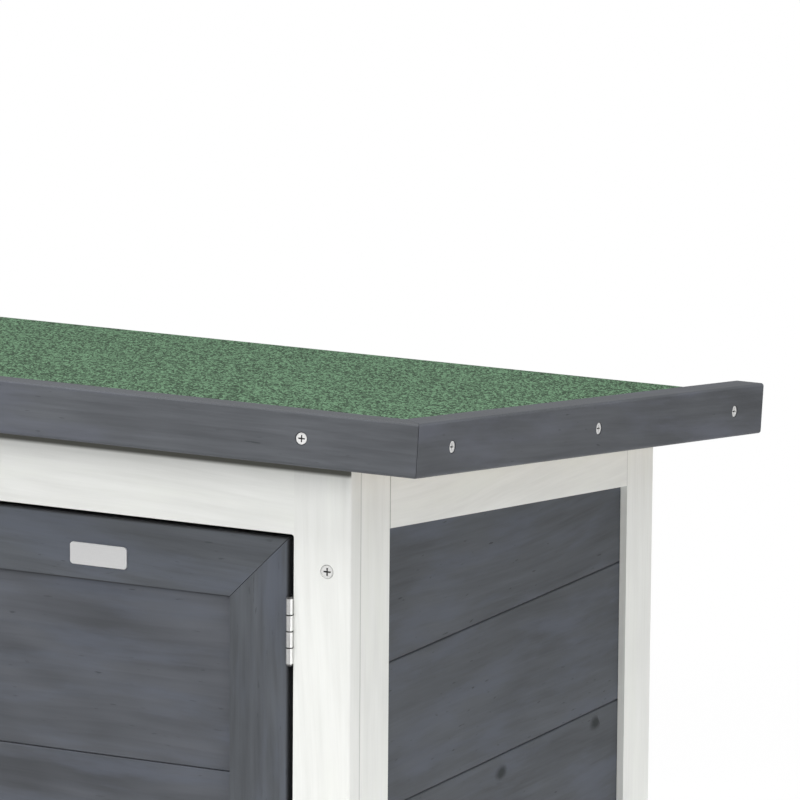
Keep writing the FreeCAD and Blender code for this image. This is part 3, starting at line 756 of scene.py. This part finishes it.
SCREW = Metal("screw_steel", (0.86, 0.86, 0.85), mottle=0.10, grain=0.8 * MM)
GREASED = Metal("greased_pins", (0.20, 0.20, 0.20), roughness=0.40, mottle=0.10)
GALVANISED = Metal("galvanised_wire", (0.62, 0.63, 0.64), roughness=0.40, mottle=0.22, grain=2.2 * MM)
PLATE = Metal("plain_plate", (0.93, 0.93, 0.93), roughness=0.42, mottle=0.06, brushed=True)
SHEET = Metal("tray_sheet", (0.66, 0.68, 0.69), roughness=0.38, mottle=0.16, grain=9.0 * MM)
FRAME_HEAD = Head("frame_screw_heads", (0.86, 0.86, 0.84), recess_shade=(0.09, 0.09, 0.09), roof=False)
FASCIA_HEAD = Head("fascia_screw_heads", (0.90, 0.90, 0.89), recess_shade=(0.08, 0.08, 0.08), roof=True)

Finish = Wood | Felt | Metal | Head


@functools.cache
def finished(finish: Finish, lay: Lay, salt: float) -> bpy.types.Material:
    """Makes each finish once.

    Args:
        finish: What the surface is.
        lay: How its boards lie.
        salt: Another salt gives another piece of the same stuff.

    Returns:
        The material.
    """
    return finish.material(lay, salt)


PLAIN = Lay(Along.ACROSS)


def dress(node: str, finish: Finish, lay: Lay = PLAIN, salt: float = 0.0) -> None:
    """Gives a CAD node its finish.

    Args:
        node: The node's name.
        finish: What its surface is.
        lay: How its boards lie.
        salt: Another salt gives another piece of the same stuff.
    """
    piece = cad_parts[node]
    material = finished(finish, lay, salt)
    if not piece.material_slots:
        piece.data.materials.append(material)
    for slot in piece.material_slots:
        slot.material = material


def corners(node: str) -> tuple[Point, Point]:
    """Returns a CAD node's lowest and highest corner as plain tuples."""
    low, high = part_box(node)
    return tuple(low), tuple(high)


def shape(name: str, points: np.ndarray, faces: np.ndarray, finish: Finish, body: str) -> bpy.types.Object:
    """Makes a piece that rides on a body.

    Args:
        name: The piece's name.
        points: One row of x, y, z for each corner.
        faces: One row of four corner numbers for each face.
        finish: What its surface is.
        body: The CAD body it moves with.

    Returns:
        The new object.
    """
    mesh = bpy.data.meshes.new(name)
    mesh.from_pydata(points.tolist(), [], faces.tolist())
    mesh.polygons.foreach_set("use_smooth", np.ones(len(faces), dtype=bool))
    mesh.materials.append(finished(finish, PLAIN, 0.0))
    piece = bpy.data.objects.new(name, mesh)
    bpy.context.scene.collection.objects.link(piece)
    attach(piece, body)
    return piece


def ring_faces(pieces: int, rings: int, sides: int) -> np.ndarray:
    """Joins rings of points into faces.

    Args:
        pieces: Number of like pieces, one after the other.
        rings: Rings in each piece.
        sides: Points in each ring.

    Returns:
        One row of four corner numbers for each face.
    """
    piece, ring, side = np.meshgrid(np.arange(pieces), np.arange(rings - 1), np.arange(sides), indexing="ij")
    base = (piece * rings + ring) * sides
    here = base + side
    beside = base + (side + 1) % sides
    return np.stack([here, beside, beside + sides, here + sides], axis=-1).reshape(-1, 4)


def rods(starts: np.ndarray, ends: np.ndarray, radius: float, sides: int) -> Surface:
    """Round bars with softly rounded ends: rings of points on circles about each bar's line.

    Args:
        starts: One row for each bar's first end.
        ends: One row for each bar's other end.
        radius: Radius of the bars.
        sides: Points in each ring.

    Returns:
        The points and the faces.
    """
    way = ends - starts
    length = np.linalg.norm(way, axis=1, keepdims=True)
    way = way / length
    helper = np.where(np.abs(way[:, 2:3]) > 0.9, [[1.0, 0.0, 0.0]], [[0.0, 0.0, 1.0]])
    first = np.cross(way, helper)
    first /= np.linalg.norm(first, axis=1, keepdims=True)
    second = np.cross(way, first)
    # Each ring: its place as a share of the length, its inset in radii, and its size in radii.
    rings = np.array([[0.0, 0.0, 0.02], [0.0, 0.0, 0.75], [0.0, 0.3, 1.0],
                      [1.0, -0.3, 1.0], [1.0, 0.0, 0.75], [1.0, 0.0, 0.02]])
    angle = np.linspace(0.0, 2.0 * math.pi, sides, endpoint=False)
    step = rings[None, :, 0] * length + rings[None, :, 1] * radius
    centre = starts[:, None, :] + way[:, None, :] * step[:, :, None]
    circle = first[:, None, :] * np.cos(angle)[:, None] + second[:, None, :] * np.sin(angle)[:, None]
    points = centre[:, :, None, :] + circle[:, None, :, :] * (rings[None, :, 2, None, None] * radius)
    return points.reshape(-1, 3), ring_faces(len(starts), len(rings), sides)


def set_screws(name: str, places: np.ndarray, outward: np.ndarray, radius: float, rise: float,
               body: str) -> None:
    """Sets low domed screw heads with a cross pressed in: rings about each place, lower along two bars.

    Args:
        name: The piece's name.
        places: One row for each head's middle, on the surface it stands on.
        outward: Direction that the heads face.
        radius: Radius of a head.
        rise: Height of the dome.
        body: The CAD body they move with.
    """
    sides = 16
    outward = outward / np.linalg.norm(outward)
    helper = np.array([0.0, 0.0, 1.0]) if abs(outward[2]) < 0.9 else np.array([1.0, 0.0, 0.0])
    first = np.cross(helper, outward)
    first /= np.linalg.norm(first)
    second = np.cross(outward, first)
    # The rings go out from the middle, and the last one goes down to the surface.
    share = np.array([0.04, 0.3, 0.55, 0.8, 1.0, 1.0])
    lift = np.append(1.0 - 0.75 * share[:-1] ** 2, 0.0)
    angle = np.linspace(0.0, 2.0 * math.pi, sides, endpoint=False)
    ring, turn = np.meshgrid(share, angle, indexing="ij")
    across = np.abs(np.cos(turn) * np.sin(turn)) * 2.0
    pressed = (across < 0.4) * (ring < 0.6)
    height = (lift[:, None] - 0.7 * pressed) * rise
    local = (ring * np.cos(turn))[..., None] * first + (ring * np.sin(turn))[..., None] * second
    local = local * radius + height[..., None] * outward
    points = places[:, None, None, :] + local[None]
    outward_faces = ring_faces(len(places), len(share), sides)[:, [0, 3, 2, 1]]
    shape(name, points.reshape(-1, 3), outward_faces, SCREW, body)


@dataclass
class WireSheet:
    """Welded wire stapled inside an opening: round bars both ways in place of the CAD's flat grid.

    Attributes:
        node: The CAD node of the flat grid.
        body: The CAD body it moves with.
        through: Axis through the sheet.
        inward: 1 where the inside lies up that axis, and -1 where it lies down it.
    """

    node: str
    body: str
    through: Axis
    inward: int

    def build(self) -> None:
        """Lays the wires and their staples."""
        low, high = (np.array(corner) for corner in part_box(self.node))
        through = self.through.value
        along = 1 - through
        middle = (low[through] + high[through]) / 2
        across_at = self.places(low[along], high[along])
        up_at = self.places(low[2], high[2])
        starts = []
        ends = []
        for places, fixed, running, shift in ((across_at, along, 2, 0.1), (up_at, 2, along, -0.1)):
            start = np.zeros((len(places), 3))
            start[:, fixed] = places
            start[:, through] = middle + self.inward * shift * WIRE_SIZE
            end = start.copy()
            start[:, running] = low[running]
            end[:, running] = high[running]
            starts.append(start)
            ends.append(end)
        points, faces = rods(np.concatenate(starts), np.concatenate(ends), 0.4 * WIRE_SIZE, 8)
        sheet = shape(self.node + "_wires", points, faces, GALVANISED, self.body)
        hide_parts(self.node)
        self.staple(low, high, across_at, up_at)

    def places(self, low: float, high: float) -> np.ndarray:
        """Returns the middle of each wire between two edges of the sheet."""
        count = round((high - low - WIRE_SIZE) / MESH_PITCH) + 1
        return low + WIRE_SIZE / 2 + np.arange(count) * MESH_PITCH

    def staple(self, low: np.ndarray, high: np.ndarray, across_at: np.ndarray, up_at: np.ndarray) -> None:
        """Sets a staple over the outer wires at every fourth gap.

        Args:
            low: Lowest corner of the sheet.
            high: Highest corner of the sheet.
            across_at: Places of the upright wires.
            up_at: Heights of the level wires.
        """
        through = self.through.value
        along = 1 - through
        face = high[through] if self.inward > 0 else low[through]
        reach = 4.0 * MM
        lift = 0.35 * MM
        radius = 0.55 * MM
        centres = []
        ways = []
        for fixed, edges, running, places in ((2, up_at[[0, -1]], along, across_at),
                                              (along, across_at[[0, -1]], 2, up_at)):
            between = (places[1:-1:4] + places[2::4][: len(places[1:-1:4])]) / 2
            edge, place = np.meshgrid(edges, between, indexing="ij")
            centre = np.zeros((edge.size, 3))
            centre[:, fixed] = edge.ravel()
            centre[:, running] = place.ravel()
            centre[:, through] = face + self.inward * lift
            way = np.zeros_like(centre)
            way[:, fixed] = reach
            centres.append(centre)
            ways.append(way)
        centre = np.concatenate(centres)
        way = np.concatenate(ways)
        points, faces = rods(centre - way, centre + way, radius, 6)
        shape(self.node + "_staples", points, faces, ZINC, self.body)


@dataclass
class Carcass:
    """The white frames that stand on the ground, and the grey boards in them."""

    white: Wood
    grey: Wood

    def build(self) -> None:
        """Finishes the frames and boards."""
        for number, node in enumerate(("front_left_stile", "front_right_stile", "front_upper_mullion",
                                       "front_lower_mullion", "left_front_post", "right_front_post",
                                       "left_rear_post", "right_rear_post")):
            in_front = node.startswith("front")
            meets_front = in_front or node.endswith("front_post")
            # The front frame's boards carry a painted shadow under the lid's edge.
            dress(node, self.white, Lay(Along.UP, lid_shadow_line=LID_SHADOW_LINE if in_front else FAR_AWAY,
                                        joints=(FRONT_INSIDE,) if meets_front else ()), 11.0 + number)
        for number, node in enumerate(("front_top_rail", "front_middle_rail", "front_bottom_rail")):
            # The front rails carry the painted shadow under the lid's edge too.
            dress(node, self.white, Lay(Along.ACROSS, lid_shadow_line=LID_SHADOW_LINE), 21.0 + number)
        rail_spacing = 300.0 * MM
        for node, salt in (("left_side_rails", 31.0), ("right_side_rails", 32.0)):
            low, high = corners(node)
            dress(node, self.white, Lay(Along.DEEP, board_start=low[2] - rail_spacing / 3,
                                        board_width=rail_spacing, joints=(low[1], high[1])), salt)
        _, high = corners("back_frame")
        stile_start = (high[0] - BACK_STILE_WIDTH, 0.0, 0.0)
        dress("back_frame", self.white, Lay(Along.BACK_FRAME, high=stile_start), 41.0)
        for node, salt in (("left_side_boards", 51.0), ("right_side_boards", 52.0)):
            low, _ = corners(node)
            dress(node, self.grey, Lay(Along.DEEP, board_start=low[2], board_width=BOARD_WIDTH), salt)
        low, _ = corners("back_boards")
        dress("back_boards", self.grey, Lay(Along.ACROSS, board_start=low[2], board_width=BOARD_WIDTH,
                                            tier_start=BACK_TIER_START), 53.0)
        dress("frame_screws", FRAME_HEAD)
        log.info("carcass: frames, boards and screws finished")


@dataclass
class Interior:
    """Floors, bearers, divider, ramp and tray."""

    bare: Wood
    grey: Wood

    def build(self) -> None:
        """Finishes the inside."""
        for number, node in enumerate(("upper_floor", "lower_floor")):
            low, _ = corners(node)
            dress(node, self.bare, Lay(Along.ACROSS, board_axis=Axis.Y, board_start=low[1]), 61.0 + number)
        low, _ = corners("floor_bearers")
        bearers = Lay(Along.ACROSS, board_start=low[2], board_width=200.0 * MM)
        dress("floor_bearers", self.bare, bearers, 63.0)
        dress("nest_divider", self.bare, Lay(Along.DEEP), 64.0)
        dress("door_stops", self.bare, Lay(Along.UP), 65.0)
        dress("ramp_board", self.bare, Lay(Along.ACROSS), 66.0)
        treads = Lay(Along.DEEP, board_axis=Axis.X, board_start=-SIDE_FACE, board_width=50.0 * MM)
        dress("ramp_treads", self.bare, treads, 67.0)
        dress("ramp_pivot", ZINC)
        dress("tray_pan", SHEET)
        dress("tray_front", self.grey, Lay(Along.ACROSS), 68.0)
        dress("tray_knob", TURNED, Lay(Along.DEEP), 69.0)
        log.info("inside: floors, divider, ramp and tray finished")


@dataclass
class Door:
    """One hinged door with its leaves, bolt and the screws that hold them.

    Attributes:
        name: First part of the names of its nodes.
        side: 1 where the bolt is on the right, and -1 where it is on the left.
        grey: Finish of its frame.
        salt: Gives its boards their own grain.
    """

    name: str
    side: int
    grey: Wood
    salt: float

    def build(self) -> None:
        """Finishes the door and sets its small screws."""
        frame_node = self.name + "_door_frame"
        # The door frame carries painted shade along its outer edge, as wide as its eased arris.
        dress(frame_node, self.grey, Lay(Along.MITRED, *corners(frame_node), edge_shade_width=DOOR_EASE), self.salt)
        dress(self.name + "_door_hinge_leaves", HINGE_ZINC)
        for part_name in ("_bolt_guide", "_bolt"):
            dress(self.name + part_name, ZINC)
        self.screw_bolt()
        self.screw_hinges()
        log.info("%s door: finished", self.name)

    def screw_bolt(self) -> None:
        """Sets four screws in the bolt's plate and two in its keeper."""
        low, high = (np.array(corner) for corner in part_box(self.name + "_bolt_guide"))
        plate_thickness = 1.0 * MM
        drop = 5.8 * MM
        inset = 2.9 * MM
        to_keeper = 12.7 * MM
        rise = 0.7 * MM
        face = high[1] - plate_thickness
        middle = (low[2] + high[2]) / 2
        outward = np.array([0.0, -1.0, 0.0])
        plate = np.array([[x, face, middle + way * drop] for x in (low[0] + inset, high[0] - inset)
                          for way in (-1, 1)])
        set_screws(self.name + "_bolt_screws", plate, outward, 1.7 * MM, rise, self.name + "_door")
        jamb = high[0] + to_keeper if self.side > 0 else low[0] - to_keeper
        keeper = np.array([[jamb, face, middle + way * drop] for way in (-1, 1)])
        set_screws(self.name + "_keeper_screws", keeper, outward, 1.5 * MM, rise, "carcass")

    def screw_hinges(self) -> None:
        """Sets two screws in every hinge leaf, in the gap between door and jamb."""
        low, high = (np.array(corner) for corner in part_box(self.name + "_door_hinge_leaves"))
        door_leaf = 1.2 * MM
        jamb_leaf = 2.2 * MM
        from_back = 4.6 * MM
        rises = (8.5 * MM, 28.4 * MM)
        depth = high[1] - from_back
        outer = high[0] if self.side > 0 else low[0]
        outward = np.array([-float(self.side), 0.0, 0.0])
        heights = [base + rise for base in (low[2], high[2] - HINGE_LENGTH) for rise in rises]
        for name, inset, way, body in (("_leaf_screws", door_leaf, outward, self.name + "_door"),
                                       ("_jamb_screws", jamb_leaf, -outward, "carcass")):
            places = np.array([[outer - self.side * inset, depth, height] for height in heights])
            set_screws(self.name + name, places, way, 1.7 * MM, 0.3 * MM, body)


@dataclass
class Lid:
    """The roof that lifts: boards, battens, fascias, felt and hinges."""

    grey: Wood
    bare: Wood

    def build(self) -> None:
        """Finishes the roof and sets the screws of its hinges."""
        dress("roof_front_fascia", self.grey, Lay(Along.ROOF_ACROSS), 81.0)
        for node, salt in (("roof_left_fascia", 82.0), ("roof_right_fascia", 83.0)):
            dress(node, self.grey, Lay(Along.ROOF_DEEP), salt)
        boards = Lay(Along.ROOF_ACROSS, board_start=-0.30, board_width=ROOF_BOARD_WIDTH)
        dress("roof_boards", self.bare, boards, 84.0)
        dress("roof_battens", self.bare, Lay(Along.ROOF_DEEP), 85.0)
        dress("roof_felt", GREEN_FELT)
        dress("fascia_screws", FASCIA_HEAD)
        dress("roof_hinge_back_leaves", ZINC)
        dress("roof_hinge_lid_leaves", ZINC)
        self.screw_hinges()
        log.info("lid: boards, fascias, felt and hinges finished")

    def screw_hinges(self) -> None:
        """Sets three screws in each hinge leaf on the back frame."""
        low, high = (np.array(corner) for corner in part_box("roof_hinge_back_leaves"))
        leaf_thickness = 1.2 * MM
        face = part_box("back_frame")[1][1] + leaf_thickness
        spots = ((10.0 * MM, 5.0 * MM), (25.0 * MM, 13.0 * MM), (40.0 * MM, 5.0 * MM))
        places = np.array([[end + way * across, face, low[2] + rise]
                           for end, way in ((low[0], 1), (high[0], -1)) for across, rise in spots])
        set_screws("roof_hinge_screws", places, np.array([0.0, 1.0, 0.0]), 2.4 * MM, 0.9 * MM, "carcass")


@dataclass(frozen=True)
class Lamp:
    """A square soft light."""

    name: str
    place: Point
    aim: Point
    width: float
    power: float

    def build(self) -> None:
        """Hangs the light."""
        light = bpy.data.lights.new(self.name, "AREA")
        light.shape = "SQUARE"
        light.size = self.width
        light.energy = self.power
        lamp = bpy.data.objects.new(self.name, light)
        way = Vector(self.aim) - Vector(self.place)
        turn = way.to_track_quat("-Z", "Y").to_matrix().to_4x4()
        lamp.matrix_world = Matrix.Translation(self.place) @ turn
        lamp.visible_camera = False
        bpy.context.scene.collection.objects.link(lamp)


class Sky(Shader):
    """The world round the object: white to the camera, softer as light."""

    def __init__(self) -> None:
        """Starts an empty world."""
        world = bpy.data.worlds.new("white_room")
        world.use_nodes = True
        bpy.context.scene.world = world
        self.tree = world.node_tree
        self.tree.nodes.clear()

    def build(self, strength: float) -> None:
        """Makes the white room.

        Args:
            strength: Its strength as a light.
        """
        seen = self.node("ShaderNodeLightPath", output="Is Camera Ray")
        light = self.node("ShaderNodeBackground", inputs={"Color": (1.0, 1.0, 1.0), "Strength": strength})
        white = self.node("ShaderNodeBackground", inputs={"Color": (1.0, 1.0, 1.0), "Strength": 1.0})
        both = self.node("ShaderNodeMixShader", inputs={0: seen, 1: light, 2: white})
        self.node("ShaderNodeOutputWorld", inputs={"Surface": both})


@dataclass
class Studio:
    """White room, floor, lamps and the camera of the photograph."""

    lamps: tuple[Lamp, ...]
    sky: float
    floor_radius: float = 3.0

    def build(self) -> None:
        """Sets the studio up."""
        Sky().build(self.sky)
        for lamp in self.lamps:
            lamp.build()
        self.lay_floor()
        self.set_camera()
        scene = bpy.context.scene
        scene.view_settings.view_transform = "Standard"
        log.info("studio: %d lamps", len(self.lamps))

    def lay_floor(self) -> None:
        """Lays a round white floor that fades into the white room away from the object."""
        angle = np.linspace(0.0, 2.0 * math.pi, 96, endpoint=False)
        ring = np.stack([np.cos(angle), np.sin(angle), np.zeros_like(angle)], axis=1) * self.floor_radius
        ring[:, 2] = -0.5 * MM
        mesh = bpy.data.meshes.new("studio_floor")
        mesh.from_pydata(ring.tolist(), [], [list(range(len(ring)))])
        shader = Shader("studio_white")
        x, y, _ = shader.place()
        far = (x * x + y * y).root().rise(0.75, self.floor_radius * 0.9)
        grain = shader.noise(shader.vector(x, y, 0.0), 40.0, 3.0, 0.6)
        paper = shader.node("ShaderNodeBsdfPrincipled",
                            inputs={"Base Color": grain.tint((0.86, 0.86, 0.86), (0.88, 0.88, 0.88)),
                                    "Roughness": 0.8, "Specular IOR Level": 0.1})
        clear = shader.node("ShaderNodeBsdfTransparent")
        both = shader.node("ShaderNodeMixShader", inputs={0: far, 1: paper, 2: clear})
        shader.node("ShaderNodeOutputMaterial", inputs={"Surface": both})
        mesh.materials.append(shader.material)
        floor = bpy.data.objects.new("studio_floor", mesh)
        bpy.context.scene.collection.objects.link(floor)

    def set_camera(self) -> None:
        """Sets the camera where the photograph was taken from."""
        place = Vector((2.1353, -3.5540, 1.5510))
        turned_left = math.radians(27.012)
        tipped_down = math.radians(11.037)
        rolled = math.radians(0.452)
        right = Vector((math.cos(turned_left), math.sin(turned_left), 0.0))
        forward = Vector((-math.sin(turned_left) * math.cos(tipped_down),
                          math.cos(turned_left) * math.cos(tipped_down), -math.sin(tipped_down)))
        up = right.cross(forward)
        level = right * math.cos(rolled) + up * math.sin(rolled)
        upright = up * math.cos(rolled) - right * math.sin(rolled)
        lens = bpy.data.cameras.new("camera")
        lens.lens = 318.55
        lens.sensor_width = 36.0
        lens.clip_start = 0.1
        lens.clip_end = 100.0
        camera = bpy.data.objects.new("camera", lens)
        turn = Matrix((level, upright, -forward)).transposed().to_4x4()
        camera.matrix_world = Matrix.Translation(place) @ turn
        bpy.context.scene.collection.objects.link(camera)
        bpy.context.scene.camera = camera


LAMPS = (
    Lamp("front", (-0.6, -3.8, 3.6), (0.2, -0.2, 0.6), 2.6, 98.0),
    Lamp("top", (0.2, -0.3, 4.2), (0.2, 0.0, 0.7), 3.0, 206.0),
    Lamp("right_high", (3.4, -0.4, 3.6), (0.4, 0.0, 0.6), 2.4, 21.0),
    Lamp("right_low", (4.6, -1.2, 0.9), (0.4, 0.0, 0.6), 2.4, 48.0),
)
SKY = 0.364


def main() -> None:
    """Builds the looks in order."""
    logging.basicConfig(level=logging.INFO, format="%(name)s %(message)s")
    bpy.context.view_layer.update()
    Carcass(WHITE, PLANK_GREY).build()
    Interior(BARE, GREY).build()
    for door in (Door("nest", -1, GREY, 71.0), Door("run", 1, GREY, 72.0), Door("lower", 1, GREY, 73.0)):
        door.build()
    low, _ = corners("nest_door_boards")
    panel = Lay(Along.ACROSS, board_start=low[2], board_width=PANEL_BOARD_WIDTH)
    dress("nest_door_boards", PANEL_GREY, panel, 74.0)
    dress("nest_door_plate", PLATE)
    dress("door_hinge_frame_leaves", HINGE_ZINC)
    dress("bolt_keepers", ZINC)
    dress("door_hinge_pins", GREASED)
    for sheet in (WireSheet("run_door_mesh", "run_door", Axis.Y, 1),
                  WireSheet("lower_door_mesh", "lower_door", Axis.Y, 1),
                  WireSheet("lower_front_mesh", "carcass", Axis.Y, 1),
                  WireSheet("left_side_mesh", "carcass", Axis.X, 1),
                  WireSheet("right_side_mesh", "carcass", Axis.X, -1)):
        sheet.build()
    log.info("wire: five sheets laid and stapled")
    Lid(ROOF_GREY, BARE).build()
    Studio(LAMPS, SKY).build()


if __name__ == "__main__":
    main()
